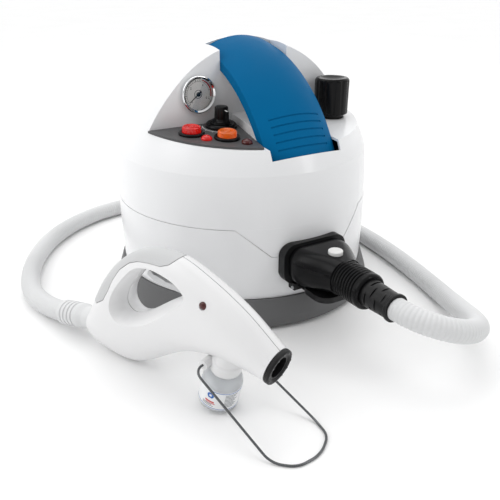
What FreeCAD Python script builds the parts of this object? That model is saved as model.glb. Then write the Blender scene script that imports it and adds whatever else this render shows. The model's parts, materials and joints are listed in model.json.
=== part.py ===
"""Canister steam cleaner with its steam hose and spray gun, in millimetres.

The origin is on the floor under the vertical axis of the round machine.
The front, with the steam socket, faces -Y, and +Z is up.
"""
import FreeCAD, Part
import math
import os
import Sketcher

from FreeCAD import Placement, Rotation, Vector

DOC = FreeCAD.newDocument("SteamCleaner")

# ---------------------------------------------------------------- driving dimensions

SIZES = {
    # round machine body
    "wall": 3.0,
    "gap": 0.3,
    "skirt_foot_radius": 176.0,
    "skirt_top_radius": 167.0,
    "skirt_top": 37.0,
    "tray_bottom": 3.0,
    "casing_foot_radius": 163.5,
    "casing_radius": 165.0,
    "seam_level": 126.0,
    "ridge_radius": 161.5,
    "ridge_level": 187.0,
    "shoulder_radius": 114.0,
    "shoulder_level": 266.0,
    "dome_top": 319.0,
    "dome_side_arc": 207.0,
    # recesses for the controls and the boiler cap
    "recess_wall": 31.0,
    "recess_floor": 217.5,
    "recess_mid": 90.5,
    "recess_tilt": 4.3,
    "hump_rear": 29.0,
    "hump_front": 47.0,
    "hump_rise": 11.0,
    # carrying handle: an arc about an axis along X
    "handle_axis_back": 43.0,
    "handle_axis_level": 107.0,
    "grip_under": 190.0,
    "cover_lip": 192.5,
    "cover_edge": 203.0,
    "cover_half": 47.0,
    "cover_thick": 2.8,
    "cover_crown": 91.0,
    "cover_start": 10.0,
    "cover_sweep": 53.3,
    # controls
    "panel_thick": 2.5,
    "button_radius": 11.0,
    "button_rise": 9.0,
    "bezel_radius": 15.0,
    "gauge_radius": 22.0,
    "gauge_level": 260.0,
    "gauge_side": 78.0,
    "knob_radius": 8.4,
    "knob_rise": 19.0,
    # boiler and its cap
    "boiler_radius": 104.0,
    "boiler_floor": 26.0,
    "boiler_side": 96.0,
    "boiler_dish": 26.0,
    "cap_x": 100.0,
    "cap_y": 59.0,
    "cap_radius": 22.0,
    "cap_base": 224.0,
    "cap_rise": 45.0,
    "neck_radius": 15.0,
    "neck_bore": 11.0,
    # steam socket and plug
    "socket_level": 83.0,
    "socket_half": 44.0,
    "socket_tall": 25.0,
    "plug_root": 171.5,
    "collar_start": 228.0,
    "boot_start": 270.0,
    "boot_end": 308.0,
    "plug_nose": 9.0,
    # hose
    "hose_radius": 12.5,
    # gun
    "gun_x": -246.0,
    "gun_y": -76.0,
    "gun_heading": -68.5,
    "gun_wall": 2.5,
    "nozzle_radius": 18.0,
    "nozzle_bore": 10.5,
    "gun_seam": 0.4,
    "bottle_radius": 20.0,
    "wire_radius": 1.2,
}


class Size:
    """A driving dimension, or arithmetic on some of them: the number and its spreadsheet formula."""

    def __init__(self, number, formula):
        self.number = number
        self.formula = formula

    def __add__(self, other):
        return Size(self.number + value(other), f"({self.formula} + {formula(other)})")

    def __sub__(self, other):
        return Size(self.number - value(other), f"({self.formula} - {formula(other)})")

    def __rsub__(self, other):
        return Size(value(other) - self.number, f"({formula(other)} - {self.formula})")

    def __mul__(self, other):
        return Size(self.number * value(other), f"({self.formula} * {formula(other)})")

    def __neg__(self):
        return self * -1

    __radd__ = __add__
    __rmul__ = __mul__


def value(item):
    return item.number if isinstance(item, Size) else float(item)


def formula(item):
    return item.formula if isinstance(item, Size) else repr(float(item))


def make_sheet():
    sheet = DOC.addObject("Spreadsheet::Sheet", "Sizes")
    for row, (name, number) in enumerate(SIZES.items(), start=1):
        sheet.set(f"A{row}", name)
        sheet.set(f"B{row}", str(number))
        sheet.setAlias(f"B{row}", name)
    DOC.recompute()
    return sheet


make_sheet()
S = {name: Size(number, f"Sizes.{name}") for name, number in SIZES.items()}
V = {name: number for name, number in SIZES.items()}

X_AXIS = Vector(1, 0, 0)
Y_AXIS = Vector(0, 1, 0)
Z_AXIS = Vector(0, 0, 1)
FAR = 400.0
DOME = "dome"

# ---------------------------------------------------------------- modelling helpers


def bind(item, prop, size):
    """Set a property from a plain number, or bind it to the spreadsheet."""
    if isinstance(size, Size):
        item.setExpression(prop, size.formula)
    else:
        setattr(item, prop, size)


def turned(axis, angle):
    return Rotation(axis, angle)


UPRIGHT = Rotation()
ALONG_X = Rotation(Y_AXIS, 90)
ALONG_FRONT = Rotation(X_AXIS, 90)


def place(item, at=(0, 0, 0), turn=UPRIGHT):
    item.Placement = Placement(Vector(*[value(c) for c in at]), turn)
    for letter, size in zip("xyz", at):
        if isinstance(size, Size):
            item.setExpression(f".Placement.Base.{letter}", size.formula)
    return item


def cylinder(name, radius, height, at=(0, 0, 0), turn=UPRIGHT):
    item = DOC.addObject("Part::Cylinder", name)
    bind(item, "Radius", radius)
    bind(item, "Height", height)
    return place(item, at, turn)


def torus(name, ring, tube, at=(0, 0, 0), turn=UPRIGHT):
    item = DOC.addObject("Part::Torus", name)
    bind(item, "Radius1", ring)
    bind(item, "Radius2", tube)
    return place(item, at, turn)


def box(name, low, high):
    """A box between two opposite corners."""
    item = DOC.addObject("Part::Box", name)
    for prop, a, b in zip(("Length", "Width", "Height"), low, high):
        bind(item, prop, (b if isinstance(b, Size) else Size(float(b), repr(float(b)))) - a)
    return place(item, low)


def cut(name, base, *tools):
    for index, tool in enumerate(tools):
        last = index == len(tools) - 1
        item = DOC.addObject("Part::Cut", name if last else f"{name}_step")
        item.Base = base
        item.Tool = tool
        base = item
    return base


def fuse(name, *items):
    item = DOC.addObject("Part::MultiFuse", name)
    item.Shapes = list(items)
    item.Refine = True
    return item


def common(name, *items):
    item = DOC.addObject("Part::MultiCommon", name)
    item.Shapes = list(items)
    return item


def group(name, items):
    """Several identical pieces kept as separate solids in one sub-part."""
    item = DOC.addObject("Part::Compound", name)
    item.Links = list(items)
    return item


def pin_point(sketch, geo, end, point):
    """Tie one end of a sketch line or arc to its two dimensions."""
    for kind, axis, size in (("DistanceX", -2, point[0]), ("DistanceY", -1, point[1])):
        if abs(value(size)) < 1e-9:
            sketch.addConstraint(Sketcher.Constraint("PointOnObject", geo, end, axis))
            continue
        number = sketch.addConstraint(Sketcher.Constraint(kind, -1, 1, geo, end, value(size)))
        if isinstance(size, Size):
            sketch.setExpression(f"Constraints[{number}]", size.formula)


def arc_middle(start, stop, radius):
    """Middle point of the shorter arc; a positive radius bulges to the right of the travel."""
    chord = stop - start
    half = chord.Length / 2
    sagitta = abs(radius) - math.sqrt(radius * radius - half * half)
    side = Vector(chord.y, -chord.x, 0).normalize()
    return start + chord * 0.5 + side * math.copysign(sagitta, radius)


def dome_radius(before, here):
    """Radius of an arc between two points whose centre lies on the upright axis."""
    wide = before.x - here.x
    rise = here.y - before.y
    return math.copysign((wide * wide + rise * rise) / (2 * abs(rise)), rise * wide)


def draw(sketch, outline):
    """Closed outline from points (a, b) or (a, b, radius of the arc that leads to this point).

    DOME in place of the radius makes an arc that is centred on the upright axis.
    """
    points = [Vector(value(p[0]), value(p[1]), 0) for p in outline]
    for index, point in enumerate(outline):
        before = points[index - 1]
        here = points[index]
        radius = point[2] if len(point) > 2 else None
        if radius is None:
            geo = sketch.addGeometry(Part.LineSegment(before, here))
            pin_point(sketch, geo, 2, point)
            pin_point(sketch, geo, 1, outline[index - 1])
            continue
        if radius == DOME:
            middle = arc_middle(before, here, dome_radius(before, here))
        else:
            middle = arc_middle(before, here, value(radius))
        geo = sketch.addGeometry(Part.Arc(before, middle, here))
        first = 1 if sketch.getPoint(geo, 1).distanceToPoint(before) < 1e-4 else 2
        pin_point(sketch, geo, first, outline[index - 1])
        pin_point(sketch, geo, 3 - first, point)
        if radius == DOME:
            sketch.addConstraint(Sketcher.Constraint("PointOnObject", geo, 3, -2))
            continue
        number = sketch.addConstraint(Sketcher.Constraint("Radius", geo, abs(value(radius))))
        if isinstance(radius, Size):
            size = radius if value(radius) > 0 else -radius
            sketch.setExpression(f"Constraints[{number}]", size.formula)


def body_with_sketch(name, outline, plane):
    body = DOC.addObject("PartDesign::Body", name)
    sketch = body.newObject("Sketcher::SketchObject", f"{name}_outline")
    support = [f for f in body.Origin.OriginFeatures if f.Role == plane][0]
    sketch.AttachmentSupport = (support, "")
    sketch.MapMode = "FlatFace"
    draw(sketch, outline)
    return body, sketch


def revolved(name, outline, at=(0, 0, 0), turn=UPRIGHT, axis="V_Axis", angle=360.0, plane="XZ_Plane"):
    """A body turned about the sketch's upright or level axis."""
    body, sketch = body_with_sketch(name, outline, plane)
    feature = body.newObject("PartDesign::Revolution", f"{name}_turning")
    feature.Profile = sketch
    feature.ReferenceAxis = (sketch, [axis])
    bind(feature, "Angle", angle)
    body.Tip = feature
    return place(body, at, turn)


def extruded(name, outline, depth, at=(0, 0, 0), turn=UPRIGHT, plane="XY_Plane", both=False):
    """A body padded from its outline."""
    body, sketch = body_with_sketch(name, outline, plane)
    feature = body.newObject("PartDesign::Pad", f"{name}_pad")
    feature.Profile = sketch
    bind(feature, "Length", depth)
    feature.Midplane = both
    body.Tip = feature
    return place(body, at, turn)


def rounded(wide, tall, corner):
    """Outline of a rounded rectangle about the origin, from its half sizes."""
    return [
        (wide, corner - tall, corner),
        (wide, tall - corner),
        (wide - corner, tall, corner),
        (corner - wide, tall),
        (-wide, tall - corner, corner),
        (-wide, corner - tall),
        (corner - wide, -tall, corner),
        (wide - corner, -tall),
    ]


def shape_part(name, shape, placement=None):
    """A free-form sub-part whose shape is made with Part's own functions."""
    item = DOC.addObject("Part::Feature", name)
    item.Shape = shape
    if placement is not None:
        item.Placement = placement
    return item


PARTS = {}


def keep(name, item):
    """Name a finished sub-part."""
    item.Label = name
    PARTS[name] = item
    return item


# ---------------------------------------------------------------- base and casings


def make_base():
    wall = S["wall"]
    foot = S["skirt_foot_radius"]
    top = S["skirt_top_radius"]
    floor = S["tray_bottom"]
    skirt = revolved("base_tray", [
        (0, floor),
        (foot - 3, floor),
        (foot, floor + 3, 3.5),
        (foot - 2, floor + 12),
        (top, S["skirt_top"]),
        (top - wall, S["skirt_top"]),
        (foot - wall - 3, floor + 12),
        (foot - wall - 5, floor + wall + 3),
        (0, floor + wall + 3),
    ])
    keep("base_tray", skirt)
    feet = [cylinder("foot_centre", 16, floor)]
    for turn in range(4):
        angle = math.radians(45 + 90 * turn)
        at = (138 * math.cos(angle), 138 * math.sin(angle), 0)
        feet.append(cylinder(f"foot_{turn}", 13, floor, at))
    keep("rubber_feet", group("rubber_feet", feet))


def dome_outline(inset, foot):
    """Half section of the dome, drawn in by a wall thickness, down to a flat foot."""
    ridge = S["ridge_radius"]
    return [
        (0, foot),
        (S["casing_radius"] - 0.5 - inset, foot),
        (ridge - inset, S["ridge_level"], 900.0),
        (S["shoulder_radius"] - inset * 0.86, S["shoulder_level"] - inset * 0.5, S["dome_side_arc"] - inset),
        (0, S["dome_top"] - inset, DOME),
    ]


def lower_outline(inset, foot, top):
    return [
        (0, foot),
        (S["casing_foot_radius"] - inset, foot),
        (S["casing_radius"] - inset, top, 1500.0),
        (0, top),
    ]


def above_floor(name, lift):
    """Everything above the tilted recess floor, raised by a lift."""
    slab = DOC.addObject("Part::Box", name)
    slab.Length = 2 * FAR
    slab.Width = 2 * FAR
    slab.Height = FAR
    slab.Placement = floor_frame(lift).multiply(Placement(Vector(-FAR, -FAR, 0), UPRIGHT))
    return slab


def floor_frame(lift):
    middle = Vector(0, -V["recess_mid"], V["recess_floor"] + lift)
    return Placement(middle, turned(X_AXIS, V["recess_tilt"]))


def recess_region(name, grow):
    """Space above the two recess floors and in front of their back wall, without the hump between them."""
    block = above_floor(f"{name}_block", -grow)
    front = box(f"{name}_front", (-FAR, -FAR, 0), (FAR, grow - S["recess_wall"], FAR))
    rear = S["hump_rear"] - grow
    wide = S["hump_front"] - grow
    hump = extruded(f"{name}_hump", [
        (-rear, 0),
        (-wide, -FAR * 0.4),
        (wide, -FAR * 0.4),
        (rear, 0),
    ], FAR)
    low_hump = cut(f"{name}_low_hump", hump, above_floor(f"{name}_hump_top", V["hump_rise"] - grow))
    return cut(name, common(f"{name}_space", block, front), low_hump)


GROOVES = 5
GROOVE_FIRST = 60.5
GROOVE_STEP = 2.5
GROOVE_RADIUS = 1.0


def handle_section(half, lip, edge, crown_extra, crown):
    """Cross-section of the handle: flat underside, straight sides and a crowned top."""
    return [(-half, lip), (half, lip), (half, edge + crown_extra), (-half, edge + crown_extra, crown)]


def handle_sweep(name, outline, start, sweep):
    """Turn a handle cross-section about the handle's axis, forward and down from the given angle."""
    axis = (0, S["handle_axis_back"], S["handle_axis_level"])
    return revolved(name, outline, axis, turned(X_AXIS, start), axis="H_Axis", angle=sweep)


def grip_grooves():
    """Shallow grooves across the crown of the handle cover, near its lower end."""
    crown = V["cover_crown"]
    rise = V["cover_edge"] - math.sqrt(crown ** 2 - V["cover_half"] ** 2)
    back = V["handle_axis_back"]
    level = V["handle_axis_level"]
    grooves = []
    for number in range(GROOVES):
        angle = GROOVE_FIRST - GROOVE_STEP * number
        lean = math.radians(angle)
        at = (0, back - rise * math.sin(lean), level + rise * math.cos(lean))
        ring = torus(f"groove_ring_{number}", crown, GROOVE_RADIUS, at, turned(X_AXIS, angle + 90))
        band = box(f"groove_band_{number}", (-34, -FAR, level), (34, FAR, FAR))
        grooves.append(common(f"groove_{number}", ring, band))
    return grooves


def make_casings():
    wall = S["wall"]
    gap = S["gap"]
    seam = S["seam_level"]
    outer = revolved("dome_outer", dome_outline(0, seam + gap))
    inner = revolved("dome_inner", dome_outline(wall, seam - 1))
    recess = recess_region("recess", 0)
    recess_back = recess_region("recess_back", V["wall"])
    shell = cut("dome_shell", cut("dome_cut", outer, recess), cut("dome_hollow", inner, recess_back))

    start = V["cover_start"]
    sweep = V["cover_sweep"]
    half = S["cover_half"]
    edge = S["cover_edge"]
    crown = S["cover_crown"]
    pocket_outline = handle_section(half + gap, S["cover_lip"] - gap, edge, 20, crown + 20)
    pocket = handle_sweep("cover_pocket", pocket_outline, start - 0.2, sweep + 0.4)
    lining_outline = handle_section(half + wall, S["grip_under"], edge, 20, crown + 20)
    lining_block = handle_sweep("lining_block", lining_outline, start - 3, 16)
    lining = cut("pocket_lining", common("lining_in_dome", lining_block, outer), pocket, recess)
    inset = S["cover_thick"] + gap
    core_outline = handle_section(half - inset, S["grip_under"], edge, -4.3, crown - inset)
    core = handle_sweep("handle_core", core_outline, start - 6, sweep + 11)

    apron_outline = [(-90, seam + 0.5), (-51, seam - 35), (51, seam - 35), (90, seam + 0.5)]
    apron_band = revolved("apron_band", [
        (S["casing_radius"] - wall, 80),
        (S["casing_radius"] - 0.4, 80),
        (S["casing_radius"] - 0.4, seam + 0.5),
        (S["casing_radius"] - wall, seam + 0.5),
    ])
    apron_tool = extruded("apron_tool", apron_outline, FAR, plane="XZ_Plane")
    apron = common("apron", apron_band, apron_tool)
    whole = fuse("upper_whole", cut("upper_pocketed", shell, pocket), lining, core, apron)
    tools = [neck_hole("upper_neck_hole")]
    tools.append(socket_hole("upper_socket_hole"))
    tools.append(gauge_hole("upper_gauge_hole"))
    for name, x, y, radius in PANEL_HOLES:
        tools.append(on_panel(cylinder(f"floor_{name}", radius, 40), x, y, -20))
    keep("upper_casing", cut("upper_casing", whole, *tools))

    apron_gap_outline = [(-90.8, seam + 1), (-51.4, seam - 35.5), (51.4, seam - 35.5), (90.8, seam + 1)]
    low_outer = revolved("low_outer", lower_outline(0, S["skirt_top"] + gap, seam - gap))
    low_inner = revolved("low_inner", lower_outline(wall, 30, seam + 1))
    apron_gap = extruded("apron_gap", apron_gap_outline, FAR, plane="XZ_Plane")
    gland_hole = cylinder("gland_hole", 9.3, 60, (0, 130, 62), turned(X_AXIS, -90))
    ring = cut("low_ring", low_outer, low_inner)
    keep("lower_casing", cut("lower_casing", ring, apron_gap, socket_hole("low_socket_hole"), gland_hole))

    outside = handle_section(half, S["cover_lip"], edge, 0, crown)
    thick = S["cover_thick"]
    inside = handle_section(half - thick, S["cover_lip"] - 2, edge, -3.9, crown - thick)
    cover = handle_sweep("cover_outer", outside, start, sweep)
    hollow = handle_sweep("cover_hollow", inside, start - 2, sweep + 4)
    cover_top = revolved("cover_trim", dome_outline(-1.0, 100))
    blank = common("cover_blank", cut("cover_shell", cover, hollow), cover_top)
    keep("handle_cover", cut("handle_cover", blank, *grip_grooves()))


def make_gland():
    ring = revolved("cord_gland", [
        (4, -8),
        (9.1, -8),
        (9.1, 1.5),
        (13, 1.5),
        (12, 5),
        (7, 12),
        (4, 12),
    ])
    keep("cord_gland", place(ring, (0, S["casing_radius"] - 0.8, 62), turned(X_AXIS, -90)))


def neck_hole(name):
    return cylinder(name, S["neck_radius"] + 2.3, 60, (S["cap_x"], -S["cap_y"], 190))


def socket_hole(name):
    half = S["socket_half"] - 6
    tall = S["socket_tall"] - 5
    return extruded(name, rounded(half, tall, 12), 90, (0, -120, S["socket_level"]), plane="XZ_Plane")


def gauge_hole(name):
    at = (-S["gauge_side"], -S["recess_wall"] + 20, S["gauge_level"])
    return cylinder(name, 19.3, 40, at, ALONG_FRONT)


def on_panel(item, x, y, lift):
    """Stand an item on the tilted recess floor, at x and y in plan."""
    tilt = math.radians(V["recess_tilt"])
    along = (y + V["recess_mid"]) / math.cos(tilt)
    item.Placement = floor_frame(0).multiply(Placement(Vector(x, along, lift), UPRIGHT))
    return item


BUTTONS = {"heater": (-103.0, -63.0), "steam": (-73.0, -93.0)}
LAMPS = {"ready": (-96.0, -87.0), "water": (-61.0, -117.0)}
KNOB_AT = (-58.0, -51.0)
BEZEL_HOLE = 12.7
LAMP_HOLE = 5.3
PANEL_HOLES = [(name, x, y, BEZEL_HOLE) for name, (x, y) in BUTTONS.items()]
PANEL_HOLES += [(name, x, y, LAMP_HOLE) for name, (x, y) in LAMPS.items()]
PANEL_HOLES.append(("knob", KNOB_AT[0], KNOB_AT[1], 6.3))

# ---------------------------------------------------------------- controls


def make_controls():
    thick = S["panel_thick"]
    arc = cylinder("panel_arc", 147.5, FAR)
    above = above_floor("panel_above", 0.15)
    below = above_floor("panel_top", 0.15 + V["panel_thick"])
    side = extruded("panel_side", [
        (-FAR, -32.5),
        (-FAR, -FAR),
        (-48, -FAR),
        (-52, -140),
        (-32.5, -32.5),
    ], FAR)
    plate = cut("panel_plate", common("panel_slab", arc, above, side), below)
    holes = [on_panel(cylinder(f"panel_{name}", radius, 20), x, y, -5) for name, x, y, radius in PANEL_HOLES]
    keep("control_panel", cut("control_panel", plate, *holes))

    top = V["panel_thick"] + 0.3
    bezels = []
    switches = []
    for name, (x, y) in BUTTONS.items():
        ring = revolved(f"{name}_bezel_ring", [
            (S["button_radius"] + 0.4, -12),
            (BEZEL_HOLE - 0.2, -12),
            (BEZEL_HOLE - 0.2, top),
            (S["bezel_radius"], top),
            (S["bezel_radius"], top + 1.5),
            (S["bezel_radius"] - 1.5, top + 3, 1.6),
            (S["button_radius"] + 0.4, top + 3),
        ])
        bezels.append(on_panel(ring, x, y, 0))
        lens = revolved(f"{name}_button_lens", [
            (0, -9),
            (S["button_radius"], -9),
            (S["button_radius"], top + S["button_rise"] - 2),
            (S["button_radius"] - 2, top + S["button_rise"], 2.1),
            (0, top + S["button_rise"] + 0.8, DOME),
        ])
        keep(f"{name}_button", on_panel(lens, x, y, 0))
        switches.append(on_panel(cylinder(f"{name}_switch_case", 8.5, 14), x, y, -29))
    keep("button_bezels", group("button_bezels", bezels))
    keep("button_switches", group("button_switches", switches))
    for name, (x, y) in LAMPS.items():
        lens = revolved(f"{name}_lamp_lens", [
            (0, -10),
            (LAMP_HOLE - 0.3, -10),
            (LAMP_HOLE - 0.3, top),
            (6.3, top),
            (6.3, top + 1.5),
            (0, top + 5, DOME),
        ])
        keep(f"{name}_lamp", on_panel(lens, x, y, 0))

    ring = revolved("knob_scale_ring", [
        (4.55, -8),
        (6.0, -8),
        (6.0, top),
        (19, top),
        (19, top + 2),
        (16, top + 5, 4.5),
        (4.55, top + 5),
    ])
    keep("knob_scale", on_panel(ring, KNOB_AT[0], KNOB_AT[1], 0))
    base = top + 5.4
    radius = S["knob_radius"]
    grip = revolved("knob_grip", [
        (0, base),
        (radius + 5, base),
        (radius + 4.5, base + 1.5),
        (radius, base + 5, -8.0),
        (radius - 0.4, base + S["knob_rise"] - 1.5),
        (radius - 2, base + S["knob_rise"], 1.8),
        (0, base + S["knob_rise"] + 0.5, DOME),
    ])
    shaft = cylinder("knob_shaft", 4.5, 40, (0, 0, base - 39))
    fin = box("knob_fin", (-1.6, -15.5, base + 0.5), (1.6, 0, base + S["knob_rise"] - 3))
    keep("steam_knob", on_panel(fuse("steam_knob", grip, shaft, fin), KNOB_AT[0], KNOB_AT[1], 0))

    valve = cylinder("valve_case", 11, 22)
    stem = cylinder("valve_bore", 4.55, 30, (0, 0, 12))
    keep("steam_valve", on_panel(cut("steam_valve", valve, stem), KNOB_AT[0], KNOB_AT[1], -50))


def gauge_part(name, item, depth):
    """Stand an item turned about Z on the recess wall, at a depth in front of it."""
    at = (-S["gauge_side"], -S["recess_wall"] - depth, S["gauge_level"])
    return keep(name, place(item, at, ALONG_FRONT))


def make_gauge():
    radius = S["gauge_radius"]
    case = revolved("gauge_case_turned", [
        (0, -20),
        (14, -20),
        (19, -14),
        (19, 0.2),
        (radius, 0.2),
        (radius, 5),
        (radius - 1.5, 6.5, 1.6),
        (radius - 3.4, 5),
        (radius - 3.4, 0.9),
        (0, 0.9),
    ])
    pin_bore = cylinder("gauge_pin_bore", 1.25, 10, (0, 0, -3))
    gauge_part("gauge_case", cut("gauge_case", case, pin_bore), 0)
    dial = cylinder("gauge_dial_disc", radius - 3.7, 0.6)
    dial_bore = cylinder("gauge_dial_bore", 1.25, 5, (0, 0, -2))
    gauge_part("gauge_dial", cut("gauge_dial", dial, dial_bore), 1.0)
    glass = cylinder("gauge_glass", radius - 3.7, 1.0)
    gauge_part("gauge_glass", glass, 4.2)
    hub = cylinder("needle_hub", 2.6, 0.9, (0, 0, 0.5))
    pin = cylinder("needle_pin", 1.2, 3.2, (0, 0, -2.6))
    blade = extruded("needle_blade", [(-5, -0.9), (14, -0.35), (14, 0.35), (-5, 0.9)], 0.5, (0, 0, 0.6))
    needle = fuse("gauge_needle", hub, pin, blade)
    at = (-S["gauge_side"], -S["recess_wall"] - 1.75, S["gauge_level"])
    turn = ALONG_FRONT.multiply(turned(Z_AXIS, 218))
    keep("gauge_needle", place(needle, at, turn))


# ---------------------------------------------------------------- boiler and its cap

BOILER_AT = (34.0, -12.0)


def make_boiler():
    x, y = BOILER_AT
    radius = S["boiler_radius"]
    floor = S["boiler_floor"]
    side = floor + S["boiler_side"]
    dish = S["boiler_dish"]
    sheet = 2.0
    tank = revolved("boiler_tank", [
        (0, floor),
        (radius - 12, floor),
        (radius, floor + 12, 12.5),
        (radius, side),
        (0, side + dish, DOME),
    ], (x, y, 0))
    room = revolved("boiler_room", [
        (0, floor + sheet),
        (radius - 12, floor + sheet),
        (radius - sheet, floor + 12, 12.5),
        (radius - sheet, side),
        (0, side + dish - sheet, DOME),
    ], (x, y, 0))
    neck_at = (S["cap_x"], -S["cap_y"], 120)
    neck_space = cylinder("boiler_neck_space", S["neck_radius"] + 0.2, 60, neck_at)
    outlet_space = cylinder("boiler_outlet_space", 6.2, 60, (x - 60, y, 120))
    heater_space = cylinder("boiler_heater_space", 7.2, 60, (x - 120, y + 40, 50), ALONG_X)
    keep("boiler_vessel", cut("boiler_vessel", tank, room, neck_space, outlet_space, heater_space))

    neck_ring = cylinder("neck_outer", S["neck_radius"], S["cap_base"] - 141, (S["cap_x"], -S["cap_y"], 141))
    neck_bore = cylinder("neck_inner", S["neck_bore"], 120, (S["cap_x"], -S["cap_y"], 130))
    keep("filler_neck", cut("filler_neck", neck_ring, neck_bore))

    jacket_low = floor + 14
    jacket_outer = cylinder("jacket_outer", radius + 8, 78, (x, y, jacket_low))
    jacket_inner = cylinder("jacket_inner", radius + 0.5, 100, (x, y, jacket_low - 5))
    stub_gap = box("jacket_gap", (x - 140, y + 26, 20), (x - 60, y + 54, 90))
    keep("insulation_jacket", cut("insulation_jacket", jacket_outer, jacket_inner, stub_gap))

    ring = torus("heater_loop", 62, 4.2, (x, y, floor + 26))
    plate = cylinder("heater_plate", 14, 4, (x - 106, y + 40, 50), ALONG_X)
    plug_end = cylinder("heater_stub", 7, 62, (x - 102, y + 40, 50), ALONG_X)
    keep("heating_element", fuse("heating_element", ring, plate, plug_end))

    legs = []
    for turn in range(3):
        angle = math.radians(30 + 120 * turn)
        at = (x + 80 * math.cos(angle), y + 80 * math.sin(angle), S["tray_bottom"] + S["wall"] + 3)
        tall = S["boiler_floor"] - S["tray_bottom"] - S["wall"] - 3
        legs.append(cylinder(f"boiler_post_{turn}", 9, tall, at))
    keep("boiler_posts", group("boiler_posts", legs))

    valve_body = box("solenoid_block", (x - 72, y - 12, 149), (x - 42, y + 12, 170))
    valve_coil = cylinder("solenoid_coil", 13, 24, (x - 57, y, 170))
    keep("solenoid_valve", fuse("solenoid_valve", valve_body, valve_coil))
    stub = cylinder("outlet_stub", 6, 14, (x - 60, y, 135))
    keep("boiler_outlet", stub)
    thermostat = cylinder("thermostat_can", 10, 12, (x, y + 45, 146))
    stem = cylinder("thermostat_stem", 3, 9, (x, y + 45, 158))
    keep("thermostat", fuse("thermostat", thermostat, stem))
    board = box("board_plate", (-150, 30, 150), (-148, 95, 205))
    parts = [box("board_relay", (-148, 40, 160), (-132, 58, 185))]
    parts.append(box("board_fuse", (-148, 66, 165), (-138, 88, 178)))
    board_all = fuse("control_board", board, *parts)
    keep("control_board", place(board_all, (34, 0, 0)))

    pipe_points = [(x - 57, y - 12.2, 160), (x - 57, -110, 160), (x - 57, -128, 142), (-23, -128, 104)]
    keep("steam_pipe", tube_part("steam_pipe", pipe_points, 4.0))


def make_cap():
    at = (S["cap_x"], -S["cap_y"], 0)
    base = S["cap_base"]
    radius = S["cap_radius"]
    stem = revolved("cap_stem", [
        (0, 184),
        (8, 184),
        (S["neck_bore"] - 0.5, 188),
        (S["neck_bore"] - 0.5, base + 1.2),
        (S["neck_radius"], base + 1.2),
        (S["neck_radius"], base + 6),
        (9, base + 6),
        (9, base + 30),
        (0, base + 30),
    ], at)
    keep("cap_core", stem)
    seal_ring = torus("seal_ring", 12.9, 1.5)
    seal_cut = box("seal_flat", (60, -100, S["cap_base"] + 0.1), (140, -20, S["cap_base"] + 1.1))
    keep("cap_seal", common("cap_seal", place_seal(seal_ring), seal_cut))
    top = base + S["cap_rise"]
    shell = revolved("cap_shell", [
        (9.05, base + 7),
        (radius - 2, base + 7),
        (radius - 2, base + 1),
        (radius - 1, base),
        (radius - 0.4, base + 1, 1.2),
        (radius, top - 4),
        (radius - 3, top, 4.5),
        (radius - 6, top),
        (0, top - 3.5, DOME),
        (0, base + 31),
        (9.05, base + 31),
    ], at)
    flutes = []
    for turn in range(12):
        angle = math.radians(30 * turn)
        reach = value(radius) + 7.3
        spot = (value(at[0]) + reach * math.cos(angle), value(at[1]) + reach * math.sin(angle), 200)
        flutes.append(cylinder(f"cap_flute_{turn}", 8, 100, spot))
    keep("cap_knob", cut("cap_knob", shell, fuse("cap_flutes", *flutes)))


def place_seal(item):
    item.Placement = Placement(Vector(V["cap_x"], -V["cap_y"], V["cap_base"] + 0.6), UPRIGHT)
    return item


# ---------------------------------------------------------------- steam socket, plug and hose


def make_socket():
    level = S["socket_level"]
    half = S["socket_half"]
    tall = S["socket_tall"]
    front = V["plug_root"]
    frame_at = (0, 12 - front, level)
    frame = extruded("socket_frame_pad", rounded(half, tall, 16), 12, frame_at, plane="XZ_Plane")
    window_at = (0, 20 - front, level)
    window = extruded("socket_window", rounded(half - 9, tall - 8, 9), 40, window_at, plane="XZ_Plane")
    drum = cylinder("socket_drum", S["casing_radius"] + 0.3, 200)
    ear_bore = cylinder("flap_pin_bore", 2.05, 80, (-40, -front - 3, level - tall - 3), ALONG_X)
    ears = []
    for side in (-1, 1):
        inner = 27 * side
        outer = 33 * side
        low = (min(inner, outer), -front - 6, level - tall - 6)
        high = (max(inner, outer), -front + 6, level - tall + 2.5)
        ears.append(box(f"flap_ear_{side}", low, high))
    body = fuse("socket_frame_body", frame, *ears)
    keep("socket_frame", cut("socket_frame", body, window, drum, ear_bore))

    block_at = (0, -136, level)
    block = extruded("socket_block_pad", rounded(half - 7, tall - 6, 10), 22, block_at, plane="XZ_Plane")
    steam_bore = cylinder("socket_steam_bore", 6.3, 60, (-18, -130, level), ALONG_FRONT)
    slot = box("socket_pin_slot", (4, -165, level - 9), (26, -140, level + 9))
    pipe_bore = cylinder("socket_pipe_bore", 4.5, 30, (-23, -128, 90))
    keep("socket_block", cut("socket_block", block, steam_bore, slot, pipe_bore))

    pin_at = (-34, -front - 3, level - tall - 3)
    keep("flap_pin", cylinder("flap_pin", 2.0, 68, pin_at, ALONG_X))
    lid = extruded("flap_lid", rounded(26, 23, 16), 7, (0, -front - 29, level - tall - 6.5))
    barrel = cylinder("flap_barrel", 4.2, 52, (-26, -front - 3, level - tall - 3), ALONG_X)
    bore = cylinder("flap_bore", 2.05, 80, (-40, -front - 3, level - tall - 3), ALONG_X)
    bridge = box("flap_bridge", (-22, -front - 12, level - tall - 6.5), (22, -front - 3, level - tall + 0.5))
    keep("socket_flap", cut("socket_flap", fuse("flap_body", lid, barrel, bridge), bore))


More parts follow.
